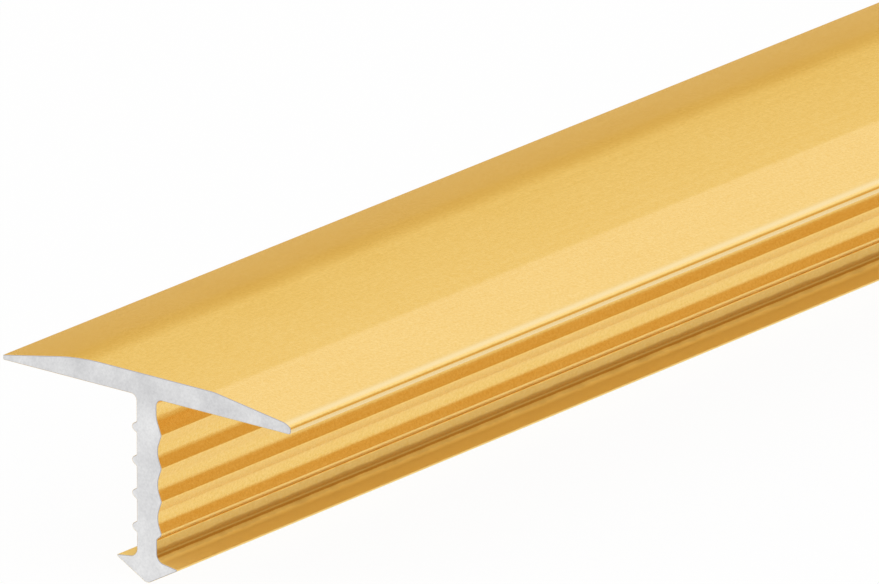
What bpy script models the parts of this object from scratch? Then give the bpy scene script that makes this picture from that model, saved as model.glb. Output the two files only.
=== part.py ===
"""T-section threshold strip that bridges the joint between two floor coverings.

The real strip is one aluminium bar, extruded, anodised gold and then sawn to length, so the film ends at
the sawn faces and the bare metal shows there. The bar is modelled as its three members (cap, ribbed stem and
anchor foot), which meet face to face, and the film is a fourth solid wrapped round them.

Units are metres. +Z is up, +Y runs along the strip and X across it. The origin is at mid-length, on the
centre line, at the height of the two flats under the cap, which is the level of the finished floor.
"""

import math

import bmesh
import bpy

# Driving dimensions

STRIP_LENGTH = 0.900

CAP_FLAT_WIDTH = 0.0122
CAP_BEVEL_WIDTH = 0.0064
CAP_BEVEL_DROP = 0.00090
CAP_NOSE_WIDTH = 0.00050
CAP_NOSE_DROP = 0.00028
CAP_EDGE_THICKNESS = 0.00052
CAP_SHOULDER_RADIUS = 0.0040
CAP_NOSE_RADIUS = 0.0012
CAP_EDGE_RADIUS = 0.00026
CAP_HEEL_RADIUS = 0.00022

# The left wing has no nose: its bevel runs straight down to a thin edge
THIN_SHOULDER_RADIUS = 0.0180
THIN_EDGE_THICKNESS = 0.00036
THIN_EDGE_RADIUS = 0.00006
THIN_HEEL_RADIUS = 0.00008

STEM_THICKNESS = 0.0018
STEM_DEPTH = 0.01202
STEM_ROOT_FILLET = 0.0005

# A rib on the right is a barb: a short slope above its crest and a long one below, shorter on the lowest barb
RIB_HEIGHT = 0.00046
RIB_UPPER_RUN = 0.00120
RIB_LOWER_RUN = 0.00127
RIB_LAST_RUN = 0.00042
RIB_TOP_LAND = 0.00090
RIB_CREST_RADIUS = 0.00020
RIB_VALLEY_RADIUS = 0.00160

# A rib on the left is a round bead, a little above the crest of the barb that it backs
BEAD_HEIGHT = 0.00042
BEAD_BASE = 0.00086
BEAD_CREST = 0.00032
BEAD_RISE = 0.00018
BEAD_CREST_RADIUS = 0.00028
BEAD_ROOT_RADIUS = 0.00006

FOOT_LIP_REACH = 0.0018
FOOT_LIP_DROP = 0.00025
FOOT_LIP_THICKNESS = 0.00013
FOOT_LIP_RADIUS = 0.00006
FOOT_VEE_DEPTH = 0.00148
FOOT_POINT_RADIUS = 0.0006
FOOT_ROOT_FILLET = 0.00065

FILM_THICKNESS = 0.000015

# The widest turn, in degrees, that one straight facet of a rounded corner stands for
ARC_STEP_DEG = 12.0

# Finishes: linear base colour, metallic value and roughness

BARE_ALUMINIUM = ("bare_aluminium", (0.72, 0.72, 0.73, 1.0), 1.0, 0.45)
GOLD_ANODISED = ("gold_anodised", (0.80, 0.52, 0.16, 1.0), 1.0, 0.32)


# The section

def rounded_corner(before, corner, after, radius):
    """Points of the arc that rounds a corner between two straight runs, in the order of travel."""
    back = (before[0] - corner[0], before[1] - corner[1])
    ahead = (after[0] - corner[0], after[1] - corner[1])
    back_length = math.hypot(*back)
    ahead_length = math.hypot(*ahead)
    back = (back[0] / back_length, back[1] / back_length)
    ahead = (ahead[0] / ahead_length, ahead[1] / ahead_length)
    cosine = back[0] * ahead[0] + back[1] * ahead[1]
    turn = math.pi - math.acos(max(-1.0, min(1.0, cosine)))
    # A round never takes more than half of the shorter run beside it
    trim = min(radius * math.tan(turn / 2), 0.499 * min(back_length, ahead_length))
    radius = trim / math.tan(turn / 2)
    bisector = (back[0] + ahead[0], back[1] + ahead[1])
    reach = math.hypot(trim, radius) / math.hypot(*bisector)
    centre = (corner[0] + bisector[0] * reach, corner[1] + bisector[1] * reach)
    start = (corner[0] + back[0] * trim - centre[0], corner[1] + back[1] * trim - centre[1])
    side = 1.0 if back[0] * ahead[1] - back[1] * ahead[0] < 0 else -1.0
    steps = max(2, math.ceil(math.degrees(turn) / ARC_STEP_DEG))
    points = []
    for step in range(steps + 1):
        angle = side * turn * step / steps
        cos_angle = math.cos(angle)
        sin_angle = math.sin(angle)
        points.append((centre[0] + start[0] * cos_angle - start[1] * sin_angle,
                       centre[1] + start[0] * sin_angle + start[1] * cos_angle))
    return points


def crest_heights():
    """Heights of the crests of the barbs, from the lowest up."""
    pitch = RIB_UPPER_RUN + RIB_LOWER_RUN
    highest = -STEM_ROOT_FILLET - RIB_TOP_LAND - RIB_UPPER_RUN
    # As many ribs as the straight part of the stem has room for, above the fillet of the foot
    room = highest + STEM_DEPTH - FOOT_ROOT_FILLET - RIB_LAST_RUN
    count = max(0, math.floor(room / pitch) + 1)
    return [highest - rib * pitch for rib in reversed(range(count))]


def barb_corners(crests):
    """Corners (x, z, radius) of the barbs on the right face of the stem, from the lowest up."""
    face = STEM_THICKNESS / 2
    corners = [(face, crest - RIB_LAST_RUN, RIB_CREST_RADIUS) for crest in crests[:1]]
    for crest in crests:
        corners.append((face + RIB_HEIGHT, crest, RIB_CREST_RADIUS))
        corners.append((face, crest + RIB_UPPER_RUN, RIB_VALLEY_RADIUS))
    return corners


def bead_corners(crests):
    """Corners (x, z, radius) of the beads on the left face, from the lowest up, before they are mirrored."""
    face = STEM_THICKNESS / 2
    corners = []
    for crest in crests:
        middle = crest + BEAD_RISE
        corners.append((face, middle - BEAD_BASE / 2, BEAD_ROOT_RADIUS))
        corners.append((face + BEAD_HEIGHT, middle - BEAD_CREST / 2, BEAD_CREST_RADIUS))
        corners.append((face + BEAD_HEIGHT, middle + BEAD_CREST / 2, BEAD_CREST_RADIUS))
        corners.append((face, middle + BEAD_BASE / 2, BEAD_ROOT_RADIUS))
    return corners


def side_corners(ribs, wing):
    """Corners (x, z, radius) up one side, from the lip of the foot to the shoulder of the cap."""
    face = STEM_THICKNESS / 2
    lip_tip = face + FOOT_LIP_REACH
    lip_top = -STEM_DEPTH - FOOT_LIP_DROP
    return [
        (lip_tip, lip_top - FOOT_LIP_THICKNESS, FOOT_LIP_RADIUS),
        (lip_tip, lip_top, FOOT_LIP_RADIUS),
        (face, -STEM_DEPTH, FOOT_ROOT_FILLET),
        *ribs,
        (face, 0.0, STEM_ROOT_FILLET),
        *wing,
    ]


def section_corners():
    """Corners (x, z, radius) of the whole section, anticlockwise from the point of the foot."""
    crests = crest_heights()
    shoulder = CAP_FLAT_WIDTH / 2
    nose = shoulder + CAP_BEVEL_WIDTH
    cap_edge = nose + CAP_NOSE_WIDTH
    nose_top = CAP_EDGE_THICKNESS + CAP_NOSE_DROP
    cap_top = nose_top + CAP_BEVEL_DROP
    nosed_wing = [
        (cap_edge, 0.0, CAP_HEEL_RADIUS),
        (cap_edge, CAP_EDGE_THICKNESS, CAP_EDGE_RADIUS),
        (nose, nose_top, CAP_NOSE_RADIUS),
        (shoulder, cap_top, CAP_SHOULDER_RADIUS),
    ]
    thin_wing = [
        (cap_edge, 0.0, THIN_HEEL_RADIUS),
        (cap_edge, THIN_EDGE_THICKNESS, THIN_EDGE_RADIUS),
        (shoulder, cap_top, THIN_SHOULDER_RADIUS),
    ]
    right_side = side_corners(barb_corners(crests), nosed_wing)
    left_side = side_corners(bead_corners(crests), thin_wing)
    mirrored = [(-x, z, radius) for x, z, radius in reversed(left_side)]
    point = (0.0, right_side[0][1] - FOOT_VEE_DEPTH, FOOT_POINT_RADIUS)
    return [point, *right_side, *mirrored]


def section_outline():
    """Points (x, z) of the anodised surface, anticlockwise."""
    corners = section_corners()
    points = []
    for index, (x, z, radius) in enumerate(corners):
        before = corners[index - 1]
        after = corners[(index + 1) % len(corners)]
        points.extend(rounded_corner(before[:2], (x, z), after[:2], radius))
    return points


def inset_outline(points, depth):
    """The anticlockwise outline moved inwards by depth, corner by corner."""
    inner = []
    for index, (x, z) in enumerate(points):
        before = points[index - 1]
        after = points[(index + 1) % len(points)]
        first = math.atan2(z - before[1], x - before[0])
        second = math.atan2(after[1] - z, after[0] - x)
        half_turn = math.remainder(second - first, 2 * math.pi) / 2
        inwards = first + half_turn + math.pi / 2
        reach = depth / math.cos(half_turn)
        inner.append((x + reach * math.cos(inwards), z + reach * math.sin(inwards)))
    return inner


# Solids swept along the strip

def add_outline(mesh, points):
    """Vertices and edges of a closed outline on the near sawn face."""
    vertices = [mesh.verts.new((x, -STRIP_LENGTH / 2, z)) for x, z in points]
    return vertices, [mesh.edges.new((vertices[i - 1], vertices[i])) for i in range(len(vertices))]


def sweep(mesh, faces):
    """Extrudes faces on the near sawn face to the far one, which closes the solid."""
    swept = bmesh.ops.extrude_face_region(mesh, geom=faces, use_keep_orig=True)
    far_end = [item for item in swept["geom"] if isinstance(item, bmesh.types.BMVert)]
    bmesh.ops.translate(mesh, verts=far_end, vec=(0.0, STRIP_LENGTH, 0.0))
    bmesh.ops.recalc_face_normals(mesh, faces=mesh.faces)


def keep_between(mesh, low, high):
    """Cuts the swept solid level at two heights and keeps the part between; None leaves that side uncut."""
    for height, up in ((low, -1.0), (high, 1.0)):
        if height is None:
            continue
        everything = [*mesh.verts, *mesh.edges, *mesh.faces]
        bmesh.ops.bisect_plane(mesh, geom=everything, dist=1e-8, plane_co=(0.0, 0.0, height),
                               plane_no=(0.0, 0.0, up), clear_outer=True)
        rim = [edge for edge in mesh.edges if edge.is_boundary]
        bmesh.ops.contextual_create(mesh, geom=rim)
    bmesh.ops.recalc_face_normals(mesh, faces=mesh.faces)


def finish_material(finish):
    name, colour, metallic, roughness = finish
    material = bpy.data.materials.get(name) or bpy.data.materials.new(name)
    material.use_nodes = True
    shader = material.node_tree.nodes["Principled BSDF"]
    shader.inputs["Base Color"].default_value = colour
    shader.inputs["Metallic"].default_value = metallic
    shader.inputs["Roughness"].default_value = roughness
    return material


def add_part(name, mesh, finish, parent):
    data = bpy.data.meshes.new(name)
    mesh.to_mesh(data)
    mesh.free()
    data.materials.append(finish_material(finish))
    data.shade_smooth()
    data.set_sharp_from_angle(angle=math.radians(2 * ARC_STEP_DEG))
    part = bpy.data.objects.new(name, data)
    part.parent = parent
    bpy.context.scene.collection.objects.link(part)


def add_member(name, outline, low, high, parent):
    """One member of the extruded bar, between two heights."""
    mesh = bmesh.new()
    vertices, _ = add_outline(mesh, outline)
    sweep(mesh, [mesh.faces.new(vertices)])
    keep_between(mesh, low, high)
    add_part(name, mesh, BARE_ALUMINIUM, parent)


def add_film(name, outer, inner, parent):
    """The anodic film: a sleeve between the anodised surface and the metal, open at both sawn faces."""
    mesh = bmesh.new()
    _, outer_edges = add_outline(mesh, outer)
    _, inner_edges = add_outline(mesh, inner)
    ring = bmesh.ops.bridge_loops(mesh, edges=outer_edges + inner_edges)["faces"]
    sweep(mesh, ring)
    add_part(name, mesh, GOLD_ANODISED, parent)


def main():
    for old in list(bpy.data.objects):
        bpy.data.objects.remove(old)
    strip = bpy.data.objects.new("threshold_strip", None)
    bpy.context.scene.collection.objects.link(strip)

    anodised_surface = section_outline()
    metal = inset_outline(anodised_surface, FILM_THICKNESS)

    stem_top = -STEM_ROOT_FILLET
    stem_bottom = -STEM_DEPTH + FOOT_ROOT_FILLET
    add_member("cap", metal, stem_top, None, strip)
    add_member("ribbed_stem", metal, stem_bottom, stem_top, strip)
    add_member("anchor_foot", metal, None, stem_bottom, strip)
    add_film("anodised_film", anodised_surface, metal, strip)


main()
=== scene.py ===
# %% [markdown]
# # A gold threshold strip
# A threshold strip covers the joint between two floor coverings in a doorway. This one is a single
# aluminium bar with a T-shaped section: pressed through a die, dyed gold in an anodising bath and then
# sawn to length. So two finishes show: the satin gold film on every face that the die made, and bare grey
# metal on the two faces that the saw made.
#
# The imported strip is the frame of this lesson. It has the right sizes but coarse corners. Here its four
# members are modelled again with finer corners and a deburred saw cut, each in the place of the member it
# stands for.

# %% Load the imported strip
import math

import bmesh
import bpy
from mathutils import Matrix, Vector


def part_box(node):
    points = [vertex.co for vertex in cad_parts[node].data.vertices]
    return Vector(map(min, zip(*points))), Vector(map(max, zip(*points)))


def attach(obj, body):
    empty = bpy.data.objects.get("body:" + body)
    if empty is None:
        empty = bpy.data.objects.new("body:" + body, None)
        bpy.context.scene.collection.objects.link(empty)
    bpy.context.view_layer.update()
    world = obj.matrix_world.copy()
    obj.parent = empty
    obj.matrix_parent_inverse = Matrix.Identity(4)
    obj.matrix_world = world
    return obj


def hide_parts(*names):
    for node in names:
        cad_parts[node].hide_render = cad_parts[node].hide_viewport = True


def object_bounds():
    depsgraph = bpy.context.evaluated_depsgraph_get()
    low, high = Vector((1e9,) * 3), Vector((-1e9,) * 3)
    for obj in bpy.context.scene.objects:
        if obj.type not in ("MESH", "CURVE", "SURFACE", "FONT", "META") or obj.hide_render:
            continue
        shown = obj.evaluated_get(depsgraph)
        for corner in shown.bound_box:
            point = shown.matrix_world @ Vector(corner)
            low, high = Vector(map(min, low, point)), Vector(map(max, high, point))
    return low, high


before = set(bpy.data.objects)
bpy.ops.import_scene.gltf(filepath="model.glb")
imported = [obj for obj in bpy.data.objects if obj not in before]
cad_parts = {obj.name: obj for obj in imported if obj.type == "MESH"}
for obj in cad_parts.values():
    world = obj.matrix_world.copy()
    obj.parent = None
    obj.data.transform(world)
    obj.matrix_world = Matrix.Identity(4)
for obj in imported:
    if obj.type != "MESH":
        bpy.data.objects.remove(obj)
cad_low, cad_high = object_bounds()
strip_length = cad_high.y - cad_low.y
print("packed nodes:", sorted(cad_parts))

# %% [markdown]
# ## The section, corner by corner
# Everything about an extruded bar is in its section, so the section is drawn first and with care. Each
# corner is a place across the strip, a height, and the radius that the die gives it. The floor level,
# under the wings of the cap, is at height zero. The two sides share their foot and stem, so one function
# makes both. They differ in their ribs and wings: the right side has barbs and a wing with a rounded
# nose, and the left has round beads and a wing that thins to its edge.

# %% Corners of the section
MM = 0.001

CAP_FLAT_WIDTH = 12.2 * MM
CAP_BEVEL_WIDTH = 6.4 * MM
CAP_BEVEL_DROP = 0.90 * MM
CAP_NOSE_WIDTH = 0.50 * MM
CAP_NOSE_DROP = 0.28 * MM
CAP_EDGE_THICKNESS = 0.52 * MM
CAP_SHOULDER_RADIUS = 4.0 * MM
CAP_NOSE_RADIUS = 1.2 * MM
CAP_EDGE_RADIUS = 0.26 * MM
CAP_HEEL_RADIUS = 0.22 * MM

THIN_SHOULDER_RADIUS = 18.0 * MM
THIN_EDGE_THICKNESS = 0.36 * MM
THIN_EDGE_RADIUS = 0.06 * MM
THIN_HEEL_RADIUS = 0.08 * MM

STEM_THICKNESS = 1.8 * MM
STEM_DEPTH = 12.02 * MM
STEM_ROOT_FILLET = 0.5 * MM

RIB_COUNT = 4
RIB_FIRST_DROP = 2.6 * MM
RIB_HEIGHT = 0.46 * MM
RIB_UPPER_RUN = 1.20 * MM
RIB_LOWER_RUN = 1.27 * MM
RIB_LAST_RUN = 0.42 * MM
RIB_CREST_RADIUS = 0.2 * MM
RIB_VALLEY_RADIUS = 1.6 * MM

BEAD_HEIGHT = 0.42 * MM
BEAD_BASE = 0.86 * MM
BEAD_CREST = 0.32 * MM
BEAD_RISE = 0.18 * MM
BEAD_CREST_RADIUS = 0.28 * MM
BEAD_ROOT_RADIUS = 0.06 * MM

FOOT_LIP_REACH = 1.8 * MM
FOOT_LIP_DROP = 0.25 * MM
FOOT_LIP_THICKNESS = 0.13 * MM
FOOT_LIP_RADIUS = 0.06 * MM
FOOT_VEE_DEPTH = 1.48 * MM
FOOT_POINT_RADIUS = 0.6 * MM
FOOT_ROOT_FILLET = 0.65 * MM

STEM_FACE = STEM_THICKNESS / 2
CAP_SHOULDER = CAP_FLAT_WIDTH / 2
CAP_NOSE = CAP_SHOULDER + CAP_BEVEL_WIDTH
CAP_EDGE = CAP_NOSE + CAP_NOSE_WIDTH
NOSE_HEIGHT = CAP_EDGE_THICKNESS + CAP_NOSE_DROP
CAP_HEIGHT = NOSE_HEIGHT + CAP_BEVEL_DROP


def barb_corners(crests):
    """The corner under the lowest barb, then a crest and the valley above it for each barb."""
    corners = [(STEM_FACE, crests[0] - RIB_LAST_RUN, RIB_CREST_RADIUS)]
    for crest in crests:
        corners.append((STEM_FACE + RIB_HEIGHT, crest, RIB_CREST_RADIUS))
        corners.append((STEM_FACE, crest + RIB_UPPER_RUN, RIB_VALLEY_RADIUS))
    return corners


def bead_corners(crests):
    """Four corners for each bead, from the lowest up, each a little above the crest that it backs."""
    corners = []
    for crest in crests:
        middle = crest + BEAD_RISE
        corners.append((STEM_FACE, middle - BEAD_BASE / 2, BEAD_ROOT_RADIUS))
        corners.append((STEM_FACE + BEAD_HEIGHT, middle - BEAD_CREST / 2, BEAD_CREST_RADIUS))
        corners.append((STEM_FACE + BEAD_HEIGHT, middle + BEAD_CREST / 2, BEAD_CREST_RADIUS))
        corners.append((STEM_FACE, middle + BEAD_BASE / 2, BEAD_ROOT_RADIUS))
    return corners


def one_side(ribs, wing):
    """Corners (across, height, radius) from the lip of the foot up to the shoulder of the cap."""
    lip_tip = STEM_FACE + FOOT_LIP_REACH
    lip_top = -STEM_DEPTH - FOOT_LIP_DROP
    return [
        (lip_tip, lip_top - FOOT_LIP_THICKNESS, FOOT_LIP_RADIUS),
        (lip_tip, lip_top, FOOT_LIP_RADIUS),
        (STEM_FACE, -STEM_DEPTH, FOOT_ROOT_FILLET),
        *ribs,
        (STEM_FACE, 0.0, STEM_ROOT_FILLET),
        *wing,
    ]


def section_corners():
    """All corners of the section, from the point of the foot, up the right side and down the left."""
    crests = [-RIB_FIRST_DROP - rib * (RIB_UPPER_RUN + RIB_LOWER_RUN) for rib in reversed(range(RIB_COUNT))]
    nosed_wing = [
        (CAP_EDGE, 0.0, CAP_HEEL_RADIUS),
        (CAP_EDGE, CAP_EDGE_THICKNESS, CAP_EDGE_RADIUS),
        (CAP_NOSE, NOSE_HEIGHT, CAP_NOSE_RADIUS),
        (CAP_SHOULDER, CAP_HEIGHT, CAP_SHOULDER_RADIUS),
    ]
    thin_wing = [
        (CAP_EDGE, 0.0, THIN_HEEL_RADIUS),
        (CAP_EDGE, THIN_EDGE_THICKNESS, THIN_EDGE_RADIUS),
        (CAP_SHOULDER, CAP_HEIGHT, THIN_SHOULDER_RADIUS),
    ]
    right_side = one_side(barb_corners(crests), nosed_wing)
    left_side = one_side(bead_corners(crests), thin_wing)
    point = (0.0, right_side[0][1] - FOOT_VEE_DEPTH, FOOT_POINT_RADIUS)
    return [point, *right_side, *((-x, z, radius) for x, z, radius in reversed(left_side))]


corners = section_corners()
print("packed strip:", [round(side / MM, 2) for side in cad_high - cad_low], "mm")
print("corners of the section:", len(corners))

# %% [markdown]
# ## Small helpers for working in edit mode
# An operator acts on whatever is selected, as it would under the mouse. So everything is deselected
# before a new piece is started, and inside edit mode a test on each vertex or face says what the next
# operator works on.

# %% Helpers for edit mode


def only(piece):
    """Leaves this object alone selected and active, in object mode."""
    bpy.ops.object.select_all(action="DESELECT")
    piece.select_set(True)
    bpy.context.view_layer.objects.active = piece


def open_mesh(piece):
    """Opens a piece in edit mode with nothing selected."""
    only(piece)
    bpy.ops.object.mode_set(mode="EDIT")
    bpy.ops.mesh.select_all(action="DESELECT")


def close_mesh():
    """Goes back to object mode."""
    bpy.ops.object.mode_set(mode="OBJECT")


def pick(piece, kind, test):
    """Selects the vertices ("VERT") or faces ("FACE") that pass a test, and says how many did."""
    bpy.ops.mesh.select_mode(type=kind)
    bpy.ops.mesh.select_all(action="DESELECT")
    mesh = bmesh.from_edit_mesh(piece.data)
    chosen = [item for item in (mesh.verts if kind == "VERT" else mesh.faces) if test(item)]
    for item in chosen:
        item.select_set(True)
    mesh.select_flush_mode()
    bmesh.update_edit_mesh(piece.data)
    return len(chosen)


def slide(across=0.0, along=0.0, up=0.0):
    """The setting that an extrude operator takes for where the new part goes."""
    return {"value": (across, along, up)}


bpy.ops.object.select_all(action="DESELECT")

# %% [markdown]
# ## Drawing the outline
# A closed outline could be typed in as a list of points, but then every fillet would be a table. It is
# quicker to work as at the screen: shrink a plane to one vertex, extrude that vertex from corner to
# corner all the way round, and fill the line, which also closes it. The corners stay sharp until the next
# step. The outline stands a hair inside the strip's end, where the deburred edge of the saw cut begins.

# %% Draw the sharp section
DEBURR = 0.04 * MM
SAME_POINT = 0.001 * MM

bpy.ops.mesh.primitive_plane_add(size=MM)
section = bpy.context.object
section.name = "section"
near_end = cad_low.y + DEBURR
bar_length = strip_length - 2 * DEBURR

open_mesh(section)
bpy.ops.mesh.select_all(action="SELECT")
bpy.ops.mesh.merge(type="CENTER")
bpy.ops.transform.translate(value=(corners[0][0], near_end, corners[0][1]))
for (x, z, _), (next_x, next_z, _) in zip(corners, corners[1:]):
    bpy.ops.mesh.extrude_vertices_move(TRANSFORM_OT_translate=slide(across=next_x - x, up=next_z - z))
bpy.ops.mesh.select_all(action="SELECT")
bpy.ops.mesh.edge_face_add()
close_mesh()
print("sharp section:", len(section.data.vertices), "points,", len(section.data.polygons), "face")

# %% [markdown]
# ## Rounding the corners
# A vertex bevel slides two new points away from a corner along its edges and joins them by an arc. For an
# arc of a given radius, that distance is the radius times the tangent of half the turn. Wide turns get
# more steps, so that no step turns the surface by more than a few degrees and the highlights run smoothly
# round every rib.

# %% Round each corner by its radius
STEP_DEG = 3.0
FEWEST_STEPS = 3


def turn_at(before, corner, after):
    """How far, in radians, the outline turns at a corner."""
    arriving = Vector((corner[0] - before[0], corner[1] - before[1]))
    leaving = Vector((after[0] - corner[0], after[1] - corner[1]))
    return abs(arriving.angle_signed(leaving))


open_mesh(section)
for before, corner, after in zip([corners[-1], *corners], corners, [*corners[1:], corners[0]]):
    turn = turn_at(before, corner, after)
    here = Vector((corner[0], near_end, corner[1]))
    pick(section, "VERT", lambda v: (v.co - here).length < SAME_POINT)
    bpy.ops.mesh.bevel(affect="VERTICES", offset=corner[2] * math.tan(turn / 2),
                       segments=max(FEWEST_STEPS, math.ceil(math.degrees(turn) / STEP_DEG)),
                       clamp_overlap=False)
close_mesh()
print("rounded section:", len(section.data.vertices), "points")

# %% [markdown]
# ## From one section to film and metal
# The gold film is grown out of the metal and is about fifteen micrometres thick. Insetting the face by
# that much splits it into a thin ring, which is the section of the film, and the face inside it, which is
# the section of the metal. Both are then extruded to the length of the strip. The film needs nothing
# more: it stops at the saw cut.

# %% Split off the film and extrude both
FILM_THICKNESS = 0.015 * MM


def extrude_along(piece, length):
    """Draws a flat section out into a closed bar."""
    open_mesh(piece)
    bpy.ops.mesh.select_all(action="SELECT")
    bpy.ops.mesh.extrude_region_move(TRANSFORM_OT_translate=slide(along=length))
    bpy.ops.mesh.select_all(action="SELECT")
    bpy.ops.mesh.normals_make_consistent(inside=False)
    close_mesh()


open_mesh(section)
bpy.ops.mesh.select_mode(type="FACE")
bpy.ops.mesh.select_all(action="SELECT")
bpy.ops.mesh.inset(thickness=FILM_THICKNESS)
bpy.ops.mesh.separate(type="SELECTED")
close_mesh()
bar = next(piece for piece in bpy.context.selected_objects if piece != section)
bar.name = "bar"
film = section
film.name = "gold_film"
extrude_along(film, bar_length)
extrude_along(bar, bar_length)
print("film faces:", len(film.data.polygons), " bar faces:", len(bar.data.polygons))

# %% [markdown]
# ## The deburred saw cut
# A saw leaves a sharp burr, which is rubbed off with a file. That leaves a narrow dull rim round the cut.
# Each end face is inset, and the inner face is pushed out to the strip's full length, which slopes the
# ring between them.

# %% Deburr both ends of the bar
SAWN_SLOT, FILED_SLOT = 0, 1
# Share of a face's normal along the strip: above the second it is an end face, between the two a rim
RIM_FACING, END_FACING = 0.1, 0.9

only(bar)
for _ in (SAWN_SLOT, FILED_SLOT):
    bpy.ops.object.material_slot_add()
open_mesh(bar)
ends = pick(bar, "FACE", lambda f: abs(f.normal.y) > END_FACING)
bpy.ops.mesh.inset(thickness=DEBURR, depth=DEBURR)
pick(bar, "FACE", lambda f: RIM_FACING < abs(f.normal.y) < END_FACING)
bar.active_material_index = FILED_SLOT
bpy.ops.object.material_slot_assign()
close_mesh()
print("ends deburred:", ends, " length:", round(bar.dimensions.y / MM, 3), "mm")

# %% [markdown]
# ## Three members from one bar
# The frame keeps the bar as three members, so that a builder can speak of the cap, the stem and the foot.
# Three copies of the bar are cut level at the two heights where the frame's own members meet, and each
# keeps its own part.

# %% Cut the bar into cap, stem and foot
CUT_TOUCH = 0.0001 * MM


def cut_member(name, low, high):
    """A copy of the bar between two heights; None leaves that side uncut."""
    only(bar)
    bpy.ops.object.duplicate()
    member = bpy.context.object
    member.name = name
    open_mesh(member)
    for height, up in ((low, -1.0), (high, 1.0)):
        if height is None:
            continue
        bpy.ops.mesh.select_all(action="SELECT")
        bpy.ops.mesh.bisect(plane_co=(0.0, 0.0, height), plane_no=(0.0, 0.0, up), use_fill=True,
                            clear_outer=True, threshold=CUT_TOUCH)
    bpy.ops.mesh.select_all(action="SELECT")
    bpy.ops.mesh.normals_make_consistent(inside=False)
    close_mesh()
    return member


stem_low, stem_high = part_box("ribbed_stem")
cap_metal = cut_member("cap_metal", stem_high.z, None)
stem_metal = cut_member("stem_metal", stem_low.z, stem_high.z)
foot_metal = cut_member("foot_metal", None, stem_low.z)
bpy.data.objects.remove(bar)
print("cut at", round(stem_low.z / MM, 3), "and", round(stem_high.z / MM, 3), "mm")

# %% [markdown]
# ## Smooth where it is round, sharp where it is cut
# Smooth shading hides the steps of the small arcs, and the angle keeps the rims and the saw cut crisp.
# Each piece then takes the place of the member it was modelled from and rides on the one body of the
# strip.

# %% Shade and seat the pieces
SMOOTH_ANGLE = math.radians(25)

SEATS = (
    (film, "anodised_film", "gold_anodised"),
    (cap_metal, "cap", "bare_aluminium"),
    (stem_metal, "ribbed_stem", "bare_aluminium"),
    (foot_metal, "anchor_foot", "bare_aluminium"),
)
for piece, node, finish in SEATS:
    only(piece)
    bpy.ops.object.shade_smooth_by_angle(angle=SMOOTH_ANGLE)
    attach(piece, "root")
    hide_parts(node)
    print(piece.name, "stands for", node, "with", len(piece.data.polygons), "faces")

# %% [markdown]
# ## Shared effects for the finishes
# Both finishes have two things in common: cloudy patches, and fine lines that run one way, from the die
# on the gold and from the saw teeth on the cut. Each is a node group, so that it is made once and tuned
# by its inputs.

# %% Node groups: clouds and fine lines
# Nearly all values of a noise texture lie in this range
NOISE_LOW, NOISE_HIGH = 0.25, 0.75


def new_group(name, inputs, output):
    """An empty shader group with a vector and some numbers going in and one value coming out."""
    group = bpy.data.node_groups.new(name, "ShaderNodeTree")
    group.interface.new_socket("Vector", in_out="INPUT", socket_type="NodeSocketVector")
    for socket in inputs:
        group.interface.new_socket(socket, in_out="INPUT", socket_type="NodeSocketFloat")
    group.interface.new_socket(output, in_out="OUTPUT", socket_type="NodeSocketFloat")
    return group, group.nodes.new("NodeGroupInput"), group.nodes.new("NodeGroupOutput")


def clouds_group():
    """Soft patches about zero, from -1 to 1."""
    group, given, result = new_group("clouds", ("Scale", "Detail"), "Cloud")
    noise = group.nodes.new("ShaderNodeTexNoise")
    centred = group.nodes.new("ShaderNodeMapRange")
    centred.inputs["From Min"].default_value = NOISE_LOW
    centred.inputs["From Max"].default_value = NOISE_HIGH
    centred.inputs["To Min"].default_value = -1.0
    group.links.new(given.outputs["Vector"], noise.inputs["Vector"])
    group.links.new(given.outputs["Scale"], noise.inputs["Scale"])
    group.links.new(given.outputs["Detail"], noise.inputs["Detail"])
    group.links.new(noise.outputs["Fac"], centred.inputs["Value"])
    group.links.new(centred.outputs["Result"], result.inputs["Cloud"])
    return group


def fine_lines_group():
    """Lines along Y, about zero, from -1 to 1: noise squeezed across the lines and drawn out along them."""
    group, given, result = new_group("fine_lines", ("Across", "Along", "Detail"), "Line")
    stretch = group.nodes.new("ShaderNodeCombineXYZ")
    scaled = group.nodes.new("ShaderNodeVectorMath")
    scaled.operation = "MULTIPLY"
    clouds = group.nodes.new("ShaderNodeGroup")
    clouds.node_tree = bpy.data.node_groups["clouds"]
    clouds.inputs["Scale"].default_value = 1.0
    for axis, socket in (("X", "Across"), ("Y", "Along"), ("Z", "Across")):
        group.links.new(given.outputs[socket], stretch.inputs[axis])
    group.links.new(given.outputs["Vector"], scaled.inputs[0])
    group.links.new(stretch.outputs["Vector"], scaled.inputs[1])
    group.links.new(scaled.outputs["Vector"], clouds.inputs["Vector"])
    group.links.new(given.outputs["Detail"], clouds.inputs["Detail"])
    group.links.new(clouds.outputs["Cloud"], result.inputs["Line"])
    return group


for group in (clouds_group(), fine_lines_group()):
    print("node group", group.name, "has", len(group.nodes), "nodes")

# %% [markdown]
# ## Small helpers for materials
# A material is a tree of nodes. These helpers place a group, add values up and turn a value into a
# colour, a roughness or a relief, so that each material below reads as a list of effects.

# %% Helpers for materials


def new_material(name):
    """A material with a plain Principled shader; gives the material, its tree and the shader."""
    material = bpy.data.materials.new(name)
    material.use_nodes = True
    return material, material.node_tree, material.node_tree.nodes["Principled BSDF"]


def place_group(tree, name, vector, **values):
    """A node group that reads a vector, with some of its inputs set; gives its one output."""
    node = tree.nodes.new("ShaderNodeGroup")
    node.node_tree = bpy.data.node_groups[name]
    tree.links.new(vector, node.inputs["Vector"])
    for socket, value in values.items():
        node.inputs[socket].default_value = value
    return node.outputs[0]


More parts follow.
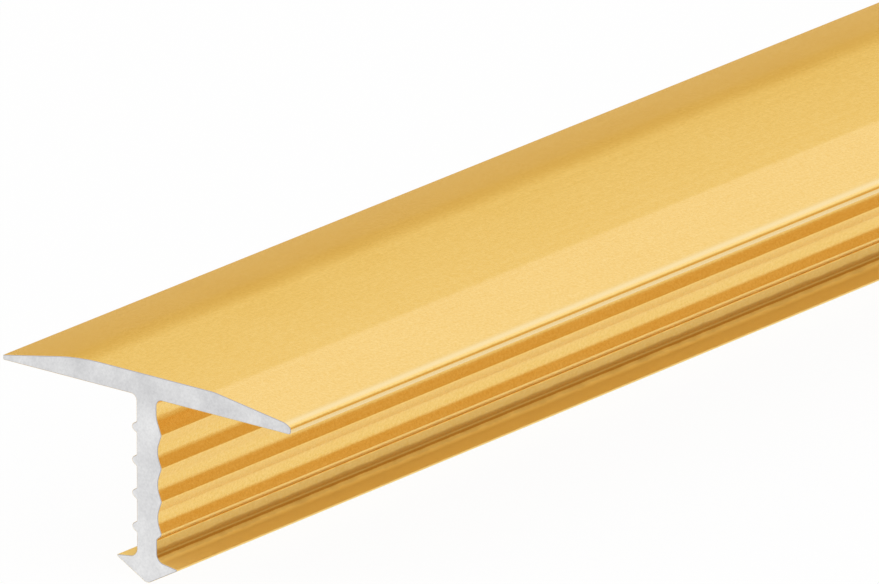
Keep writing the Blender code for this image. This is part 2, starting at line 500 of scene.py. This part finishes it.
def weighted_sum(tree, *terms):
    """Adds (value, weight) pairs, one after another."""
    total = None
    for value, weight in terms:
        step = tree.nodes.new("ShaderNodeMath")
        step.operation = "MULTIPLY_ADD"
        tree.links.new(value, step.inputs[0])
        step.inputs[1].default_value = weight
        step.inputs[2].default_value = 0.0
        if total is not None:
            tree.links.new(total, step.inputs[2])
        total = step.outputs[0]
    return total


def spread(tree, value, low, high):
    """Maps a value from -1 to 1 onto the range from low to high."""
    node = tree.nodes.new("ShaderNodeMapRange")
    node.inputs["From Min"].default_value = -1.0
    node.inputs["To Min"].default_value = low
    node.inputs["To Max"].default_value = high
    tree.links.new(value, node.inputs["Value"])
    return node.outputs["Result"]


def shade_between(tree, value, dark, light):
    """The colour between dark and light for a value from -1 to 1."""
    node = tree.nodes.new("ShaderNodeMix")
    node.data_type = "RGBA"
    node.inputs["A"].default_value = (*dark, 1.0)
    node.inputs["B"].default_value = (*light, 1.0)
    tree.links.new(spread(tree, value, 0.0, 1.0), node.inputs["Factor"])
    return node.outputs["Result"]


def blend(tree, amount, colour, other):
    """The colour turned towards another one by an amount from 0 to 1."""
    mix = tree.nodes.new("ShaderNodeMix")
    mix.data_type = "RGBA"
    mix.inputs["B"].default_value = (*other, 1.0)
    tree.links.new(amount, mix.inputs["Factor"])
    tree.links.new(colour, mix.inputs["A"])
    return mix.outputs["Result"]


def raise_by(tree, shader, value, depth):
    """Feeds a height, worth depth metres at value 1, to the shader's normal."""
    bump = tree.nodes.new("ShaderNodeBump")
    bump.inputs["Distance"].default_value = depth
    tree.links.new(value, bump.inputs["Height"])
    tree.links.new(bump.outputs["Normal"], shader.inputs["Normal"])


# %% [markdown]
# ## Stripes that follow the height
# Colour painted along an extruded bar runs its whole length: a painted highlight along an edge, painted
# shade in a corner. Such a mark depends on height alone, so it needs no picture. A stretch of height is
# mapped onto a colour ramp, and each stop of the ramp says how far down the stretch it is and how much
# of the effect shows there.

# %% Helpers for stripes


def part_of(tree, place, axis):
    """One coordinate of a place."""
    split = tree.nodes.new("ShaderNodeSeparateXYZ")
    tree.links.new(place, split.inputs["Vector"])
    return split.outputs[axis]


def down_a_stretch(tree, height, top, bottom, stops):
    """An amount from 0 to 1 that follows stops down a stretch of height."""
    share = tree.nodes.new("ShaderNodeMapRange")
    share.inputs["From Min"].default_value = top
    share.inputs["From Max"].default_value = bottom
    ramp = tree.nodes.new("ShaderNodeValToRGB")
    ramp.color_ramp.interpolation = "EASE"
    marks = ramp.color_ramp.elements
    while len(marks) < len(stops):
        marks.new(1.0)
    for mark, (position, amount) in zip(marks, stops):
        mark.position = position
        mark.color = (amount, amount, amount, 1.0)
    tree.links.new(height, share.inputs["Value"])
    tree.links.new(share.outputs["Result"], ramp.inputs["Fac"])
    return ramp.outputs["Color"]


# %% [markdown]
# ## Stripes on the gold
# Four stripes are painted on the gold. The edge of the cap has two paler lines, which are painted
# highlights. The stem is painted a little deeper in tone than the cap, as painted shade under the cap.
# Painted shade in brown lies above the lip of the foot, in the corner. The lowest rib and the lip are
# painted paler, as painted light, and are rougher. Only the right side is photographed, and the left
# side is given the same stripes.

# %% Painted highlights, painted shade and painted light on the gold
# Painted highlight colour for the two lines along each edge of the cap
GOLD_PAINTED_HIGHLIGHT = (0.90, 0.71, 0.37)
# Painted shade colour for the corner above each lip of the foot
GOLD_CORNER_SHADE = (0.42, 0.215, 0.035)
# Painted light colour for the lowest rib and the lip, which are also made rougher
GOLD_PAINTED_LIGHT = (1.0, 0.80, 0.34)
ROUGHER_BY = 0.45
NOSE_START = 11.8 * MM
NOSE_FULL = 12.1 * MM
# Each stop: how far down its stretch it is, as a share, and how much of the effect shows there
NOSE_TOP, NOSE_BOTTOM = 0.9 * MM, 0.0 * MM
# Painted highlights: the heights of the two paler lines along each edge of the cap
NOSE_HIGHLIGHT_STOPS = ((0.04, 0.0), (0.18, 1.0), (0.22, 1.0), (0.36, 0.0), (0.56, 0.0), (0.63, 1.0))
# Painted shade: below the cap the stem is painted a deeper tone
SHADED_TOP, SHADED_BOTTOM = -0.1 * MM, -1.1 * MM
SHADED_STOPS = ((0.1, 0.0), (0.9, 1.0))
# Painted shade: the heights of the brown stripe in the corner above each lip of the foot
CORNER_SHADE_TOP, CORNER_SHADE_BOTTOM = -10.3 * MM, -12.3 * MM
CORNER_SHADE_STOPS = ((0.08, 0.0), (0.16, 0.4), (0.36, 0.45), (0.47, 0.85), (0.70, 0.85), (0.79, 0.3), (0.86, 0.0))
CORNER_SHADE_WANDER = 0.06 * MM
# Painted light: the heights of the paler, rougher bands on the lowest rib and the lip
PAINTED_LIGHT_TOP, PAINTED_LIGHT_BOTTOM = -9.8 * MM, -12.4 * MM
PAINTED_LIGHT_STOPS = ((0.02, 0.0), (0.06, 0.8), (0.20, 0.8), (0.25, 0.0), (0.74, 0.0), (0.82, 1.0))


def paint_edge_highlights(tree, place, colour):
    """The colour painted paler in two lines along each edge of the cap, as painted highlights."""
    distance = tree.nodes.new("ShaderNodeMath")
    distance.operation = "ABSOLUTE"
    nearness = tree.nodes.new("ShaderNodeMapRange")
    nearness.interpolation_type = "SMOOTHSTEP"
    nearness.inputs["From Min"].default_value = NOSE_START
    nearness.inputs["From Max"].default_value = NOSE_FULL
    both = tree.nodes.new("ShaderNodeMath")
    both.operation = "MULTIPLY"
    lines = down_a_stretch(tree, part_of(tree, place, "Z"), NOSE_TOP, NOSE_BOTTOM, NOSE_HIGHLIGHT_STOPS)
    tree.links.new(part_of(tree, place, "X"), distance.inputs[0])
    tree.links.new(distance.outputs[0], nearness.inputs["Value"])
    tree.links.new(nearness.outputs["Result"], both.inputs[0])
    tree.links.new(lines, both.inputs[1])
    return blend(tree, both.outputs[0], colour, GOLD_PAINTED_HIGHLIGHT)


def paint_corner_shade(tree, place, wander, colour):
    """The colour darkened to brown above each lip of the foot as painted shade in the corner, in a stripe
    whose height wanders a little.
    """
    height = tree.nodes.new("ShaderNodeMath")
    height.operation = "MULTIPLY_ADD"
    height.inputs[1].default_value = CORNER_SHADE_WANDER
    tree.links.new(wander, height.inputs[0])
    tree.links.new(part_of(tree, place, "Z"), height.inputs[2])
    amount = down_a_stretch(tree, height.outputs[0], CORNER_SHADE_TOP, CORNER_SHADE_BOTTOM, CORNER_SHADE_STOPS)
    return blend(tree, amount, colour, GOLD_CORNER_SHADE)


# %% [markdown]
# ## Gold anodised film
# Anodising etches the aluminium to a satin, grows a clear oxide on it and dyes the oxide. So light goes
# through a clear layer, picks up gold on the metal and comes back: a metallic shader with a thin coat.
# The etch leaves a fine speckle, and the die leaves long faint lines, which show most where the strip
# reflects a dark and a light thing side by side.

# %% Gold film material
GOLD_DEEP = (0.885, 0.57, 0.145)
GOLD_PALE = (0.995, 0.735, 0.295)
GOLD_GRAZING_TINT = (0.99, 0.91, 0.80)
GOLD_ROUGHNESS = (0.18, 0.26)
GOLD_RELIEF = 0.001 * MM
COAT_WEIGHT = 0.05
COAT_ROUGHNESS = 0.22
COAT_INDEX = 1.65
# How much each effect counts in the tone, the gloss and the relief
SPECKLE_TONE, PATCH_TONE, LINE_TONE, SHADED_TONE = 0.7, 0.12, 0.2, -0.4
SPECKLE_GLOSS, PATCH_GLOSS, LINE_GLOSS = 0.5, 0.3, 0.2
SPECKLE_RELIEF, LINE_RELIEF = 0.6, 0.4

gold, tree, shader = new_material("gold_anodised")
place = tree.nodes.new("ShaderNodeTexCoord").outputs["Object"]
height = part_of(tree, place, "Z")
speckle = place_group(tree, "clouds", place, Scale=5000.0, Detail=2.0)
patches = place_group(tree, "clouds", place, Scale=90.0, Detail=4.0)
die_lines = place_group(tree, "fine_lines", place, Across=5200.0, Along=9.0, Detail=3.0)
blotches = place_group(tree, "clouds", place, Scale=700.0, Detail=3.0)
# Painted shade under the cap, as a deeper tone down the stem
shaded = down_a_stretch(tree, height, SHADED_TOP, SHADED_BOTTOM, SHADED_STOPS)
painted_light_and_rough = down_a_stretch(tree, height, PAINTED_LIGHT_TOP, PAINTED_LIGHT_BOTTOM, PAINTED_LIGHT_STOPS)

tone = weighted_sum(tree, (speckle, SPECKLE_TONE), (patches, PATCH_TONE), (die_lines, LINE_TONE),
                    (shaded, SHADED_TONE))
colour = shade_between(tree, tone, GOLD_DEEP, GOLD_PALE)
# Painted highlights on the cap's edges, then paler painted light on the lowest rib and the lip
colour = blend(tree, painted_light_and_rough, paint_edge_highlights(tree, place, colour), GOLD_PAINTED_LIGHT)
# Painted shade in brown above each lip of the foot
colour = paint_corner_shade(tree, place, blotches, colour)
tree.links.new(colour, shader.inputs["Base Color"])

gloss = weighted_sum(tree, (speckle, SPECKLE_GLOSS), (patches, PATCH_GLOSS), (die_lines, LINE_GLOSS))
satin = spread(tree, gloss, *GOLD_ROUGHNESS)
roughness = weighted_sum(tree, (satin, 1.0), (painted_light_and_rough, ROUGHER_BY))
tree.links.new(roughness, shader.inputs["Roughness"])
relief = weighted_sum(tree, (speckle, SPECKLE_RELIEF), (die_lines, LINE_RELIEF))
raise_by(tree, shader, relief, GOLD_RELIEF)
shader.inputs["Metallic"].default_value = 1.0
shader.inputs["Specular Tint"].default_value = (*GOLD_GRAZING_TINT, 1.0)
shader.inputs["Coat Weight"].default_value = COAT_WEIGHT
shader.inputs["Coat Roughness"].default_value = COAT_ROUGHNESS
shader.inputs["Coat IOR"].default_value = COAT_INDEX
film.data.materials.clear()
film.data.materials.append(gold)
print(gold.name, "has", len(tree.nodes), "nodes")

# %% [markdown]
# ## Sawn aluminium
# The saw goes through the bar in one pass, so its teeth leave arcs about the centre of the blade, which
# is well outside the strip. The distance from that centre is used as the place across the lines. Handling
# leaves faint grey smudges, and the end of the cap is a little darker than the end of the stem.

# %% Sawn metal material
BLADE_CENTRE = (95.0 * MM, -60.0 * MM)
METAL_DARK = (0.62, 0.62, 0.63)
METAL_LIGHT = (1.0, 1.0, 1.0)
SAWN_ROUGHNESS = (0.5, 0.66)
SAWN_RELIEF = 0.002 * MM
# The sawn end is darker towards the top, over the cap
DARKER_TOP, DARKER_BOTTOM = 1.7 * MM, -2.3 * MM
DARKER_STOPS = ((0.3, 1.0), (0.9, 0.0))
# How much each effect counts in the tone, the gloss and the relief
SMUDGE_TONE, GRIT_TONE, SAW_LINE_TONE, DARKER_TONE = 0.45, 0.25, 0.12, -0.28
SMUDGE_GLOSS, SAW_LINE_GLOSS = 0.5, 0.4
SAW_LINE_RELIEF, GRIT_RELIEF = 0.5, 0.5


def blade_distance(tree, place):
    """A vector whose X is the distance from the centre of the saw blade, and whose other parts are zero."""
    mapping = tree.nodes.new("ShaderNodeMapping")
    mapping.inputs["Location"].default_value = (-BLADE_CENTRE[0], 0.0, -BLADE_CENTRE[1])
    mapping.inputs["Scale"].default_value = (1.0, 0.0, 1.0)
    distance = tree.nodes.new("ShaderNodeVectorMath")
    distance.operation = "LENGTH"
    arc = tree.nodes.new("ShaderNodeCombineXYZ")
    tree.links.new(place, mapping.inputs["Vector"])
    tree.links.new(mapping.outputs["Vector"], distance.inputs[0])
    tree.links.new(distance.outputs["Value"], arc.inputs["X"])
    return arc.outputs["Vector"]


metal, tree, shader = new_material("bare_aluminium")
place = tree.nodes.new("ShaderNodeTexCoord").outputs["Object"]
smudges = place_group(tree, "clouds", place, Scale=530.0, Detail=5.0)
grit = place_group(tree, "clouds", place, Scale=5990.0, Detail=2.0)
across_cut = blade_distance(tree, place)
saw_lines = place_group(tree, "fine_lines", across_cut, Across=7000.0, Along=1.0, Detail=3.0)
darker_at_top = down_a_stretch(tree, part_of(tree, place, "Z"), DARKER_TOP, DARKER_BOTTOM, DARKER_STOPS)

tone = weighted_sum(tree, (smudges, SMUDGE_TONE), (grit, GRIT_TONE), (saw_lines, SAW_LINE_TONE),
                    (darker_at_top, DARKER_TONE))
tree.links.new(shade_between(tree, tone, METAL_DARK, METAL_LIGHT), shader.inputs["Base Color"])
gloss = weighted_sum(tree, (smudges, SMUDGE_GLOSS), (saw_lines, SAW_LINE_GLOSS))
tree.links.new(spread(tree, gloss, *SAWN_ROUGHNESS), shader.inputs["Roughness"])
relief = weighted_sum(tree, (saw_lines, SAW_LINE_RELIEF), (grit, GRIT_RELIEF))
raise_by(tree, shader, relief, SAWN_RELIEF)
shader.inputs["Metallic"].default_value = 1.0
print(metal.name, "has", len(tree.nodes), "nodes")

# %% [markdown]
# ## The filed rim
# The file takes the saw marks off the rim and leaves it grey and dull, so a plain shader without any
# pattern does for it. Every member has both slots, and the faces of the rim were given theirs when the
# ends were deburred.

# %% Filed rim material
METAL_FILED = (0.52, 0.51, 0.55)
FILED_ROUGHNESS = 0.6

filed, _, shader = new_material("filed_aluminium")
shader.inputs["Base Color"].default_value = (*METAL_FILED, 1.0)
shader.inputs["Metallic"].default_value = 1.0
shader.inputs["Roughness"].default_value = FILED_ROUGHNESS
for piece in (cap_metal, stem_metal, foot_metal):
    piece.data.materials[SAWN_SLOT] = metal
    piece.data.materials[FILED_SLOT] = filed
print("finishes:", [material.name for material in (gold, metal, filed)])

# %% [markdown]
# ## The floor
# The floor and the sky are white, as in a catalogue. A white floor in plain light still renders a little
# grey. So the camera, and the metal that reflects the floor, see mostly an even white, with enough of the
# floor's own shading left in it to keep the strip's shadow.

# %% Floor
FLOOR_SIZE = 240.0
FLOOR_GAP = 0.01 * MM
FLOOR_WHITENESS = 0.955
FLOOR_PAINT = (0.9, 0.9, 0.9)
FLOOR_ROUGHNESS = 0.9


def seen_directly(tree):
    """1 where a ray comes straight from the camera, off metal or through glass, and 0 for other rays."""
    path = tree.nodes.new("ShaderNodeLightPath")
    result = path.outputs["Is Camera Ray"]
    for kind in ("Is Glossy Ray", "Is Transmission Ray"):
        either = tree.nodes.new("ShaderNodeMath")
        either.operation = "MAXIMUM"
        tree.links.new(result, either.inputs[0])
        tree.links.new(path.outputs[kind], either.inputs[1])
        result = either.outputs[0]
    return result


def floor_material():
    """White paint whose own shading is mixed with an even white for the rays that show the background."""
    material, tree, paint = new_material("studio_floor")
    paint.inputs["Base Color"].default_value = (*FLOOR_PAINT, 1.0)
    paint.inputs["Roughness"].default_value = FLOOR_ROUGHNESS
    paint.inputs["Specular IOR Level"].default_value = 0.0
    even_white = tree.nodes.new("ShaderNodeEmission")
    share = tree.nodes.new("ShaderNodeMath")
    share.operation = "MULTIPLY"
    share.inputs[1].default_value = FLOOR_WHITENESS
    mix = tree.nodes.new("ShaderNodeMixShader")
    tree.links.new(seen_directly(tree), share.inputs[0])
    tree.links.new(share.outputs[0], mix.inputs["Fac"])
    tree.links.new(paint.outputs["BSDF"], mix.inputs[1])
    tree.links.new(even_white.outputs["Emission"], mix.inputs[2])
    tree.links.new(mix.outputs["Shader"], tree.nodes["Material Output"].inputs["Surface"])
    return material


bpy.ops.object.select_all(action="DESELECT")
bpy.ops.mesh.primitive_plane_add(size=FLOOR_SIZE, location=(0.0, 0.0, cad_low.z - FLOOR_GAP))
floor = bpy.context.object
floor.name = "studio_floor"
floor.data.materials.append(floor_material())
print("floor at", round(floor.location.z / MM, 3), "mm")

# %% [markdown]
# ## Boards and a carpet for the metal to show
# Metal shows what is around it, so the room matters as much as the lamps. Coloured boards and a carpet,
# all hidden from the camera, give the gold its darker and lighter bands, and an even glow shows each
# colour just as it is written. On the left, the far bevel shows a low ochre board, the flat top shows a
# cream wall behind that, and the near bevel shows the white sky over both. On the right, the upper sides
# of the ribs show an amber board before a sand wall. The lower sides show the white floor by the strip,
# and the tan carpet further out softens the step between the two.

# %% Boards and carpet
CREAM = (0.935, 0.89, 0.505)
OCHRE = (0.69, 0.54, 0.195)
SAND = (0.84, 0.75, 0.56)
AMBER = (0.73, 0.485, 0.20)
TAN = (0.80, 0.62, 0.36)
CARPET_LIFT = 0.02 * MM


def glow_material(name, colour):
    """An even glow, so that metal shows this colour just as it is written."""
    material, tree, _ = new_material(name)
    emission = tree.nodes.new("ShaderNodeEmission")
    emission.inputs["Color"].default_value = (*colour, 1.0)
    tree.links.new(emission.outputs["Emission"], tree.nodes["Material Output"].inputs["Surface"])
    return material


def add_board(name, colour, bearing_deg, distance, width, height):
    """A board that stands on the floor and faces the near end, at a bearing clockwise from the strip."""
    bearing = math.radians(bearing_deg)
    centre = Vector((0.0, cad_low.y, floor.location.z + height / 2))
    centre += distance * Vector((math.sin(bearing), math.cos(bearing), 0.0))
    bpy.ops.mesh.primitive_plane_add(size=1.0, location=centre, rotation=(math.pi / 2, 0.0, -bearing))
    board = bpy.context.object
    board.name = name
    board.scale = (width, height, 1.0)
    board.visible_camera = False
    board.data.materials.append(glow_material(name, colour))
    return board


def add_carpet(name, colour, near_edge, size):
    """A square that lies on the floor to the right of the strip and is seen in metal alone."""
    corner = Vector((near_edge, cad_low.y, floor.location.z + CARPET_LIFT))
    bpy.ops.mesh.primitive_plane_add(size=size, location=corner + Vector((size / 2, size / 2, 0.0)))
    carpet = bpy.context.object
    carpet.name = name
    carpet.visible_camera = False
    carpet.visible_diffuse = False
    carpet.visible_shadow = False
    carpet.data.materials.append(glow_material(name, colour))
    return carpet


cream_wall = add_board("cream_wall", CREAM, bearing_deg=-42.0, distance=3.4, width=3.4, height=1.34)
left_board = add_board("left_board", OCHRE, bearing_deg=-42.0, distance=3.0, width=3.0, height=0.89)
right_wall = add_board("right_wall", SAND, bearing_deg=40.0, distance=3.4, width=3.4, height=2.3)
right_board = add_board("right_board", AMBER, bearing_deg=42.0, distance=3.0, width=3.0, height=1.10)
right_carpet = add_carpet("right_carpet", TAN, near_edge=45.0 * MM, size=3.0)
print("boards:", [board.name for board in (cream_wall, left_board, right_wall, right_board)])

# %% [markdown]
# ## Sky and lamp
# A white sky of strength one lights the strip from all sides, at a level where a colour renders about as
# it is written. One weak softbox, above and beyond the far end, adds a little direction.

# %% World and lamps
SKY_WHITE = (1.0, 1.0, 1.0)
SKY_STRENGTH = 1.0

world = bpy.data.worlds.new("studio")
bpy.context.scene.world = world
world.use_nodes = True
sky = world.node_tree.nodes["Background"]
sky.inputs["Color"].default_value = (*SKY_WHITE, 1.0)
sky.inputs["Strength"].default_value = SKY_STRENGTH


def softbox(name, place, size, power):
    """A square lamp that faces the middle of the strip."""
    lamp = bpy.data.lights.new(name, "AREA")
    lamp.size = size
    lamp.energy = power
    holder = bpy.data.objects.new(name, lamp)
    holder.location = place
    holder.rotation_euler = (-Vector(place)).to_track_quat("-Z", "Y").to_euler()
    holder.visible_camera = False
    bpy.context.scene.collection.objects.link(holder)
    print(name, "gives", power, "W")


softbox("overhead_softbox", place=(0.0, 0.85, 1.55), size=1.2, power=0.4)

# %% [markdown]
# ## The camera
# The photographed view is nearly parallel: lines along the strip hardly draw together. So the lens is
# very long and the camera well back. It looks from the right of the near end and a little above, and one
# known point, the middle of the near end at floor level, is held at its place in the picture, which fixes
# where the camera stands.

# %% Camera
PICTURE_WIDTH, PICTURE_HEIGHT = 879, 584
AZIMUTH = math.radians(38.5)
ELEVATION = math.radians(18.9)
PIXELS_PER_METRE = 14250.0
NEAR_END_PIXEL = (146.2, 397.2)
LENS_MM = 1140.0
SENSOR_MM = 36.0
CLIP_FAR = 100.0

to_camera = Vector((math.sin(AZIMUTH) * math.cos(ELEVATION), -math.cos(AZIMUTH) * math.cos(ELEVATION),
                    math.sin(ELEVATION)))
right = Vector((math.cos(AZIMUTH), math.sin(AZIMUTH), 0.0))
up = to_camera.cross(right)
near_end_middle = Vector((0.0, cad_low.y, 0.0))
off_right = (PICTURE_WIDTH / 2 - NEAR_END_PIXEL[0]) / PIXELS_PER_METRE
off_up = (NEAR_END_PIXEL[1] - PICTURE_HEIGHT / 2) / PIXELS_PER_METRE
distance = LENS_MM / SENSOR_MM * PICTURE_WIDTH / PIXELS_PER_METRE

camera = bpy.data.objects.new("camera", bpy.data.cameras.new("camera"))
camera.data.lens = LENS_MM
camera.data.sensor_width = SENSOR_MM
camera.data.clip_end = CLIP_FAR
camera.location = near_end_middle + right * off_right + up * off_up + to_camera * distance
camera.rotation_euler = (-to_camera).to_track_quat("-Z", "Y").to_euler()
bpy.context.scene.collection.objects.link(camera)
bpy.context.scene.camera = camera
bpy.context.scene.view_settings.view_transform = "Standard"
print("camera", round(distance, 3), "m from the near end")
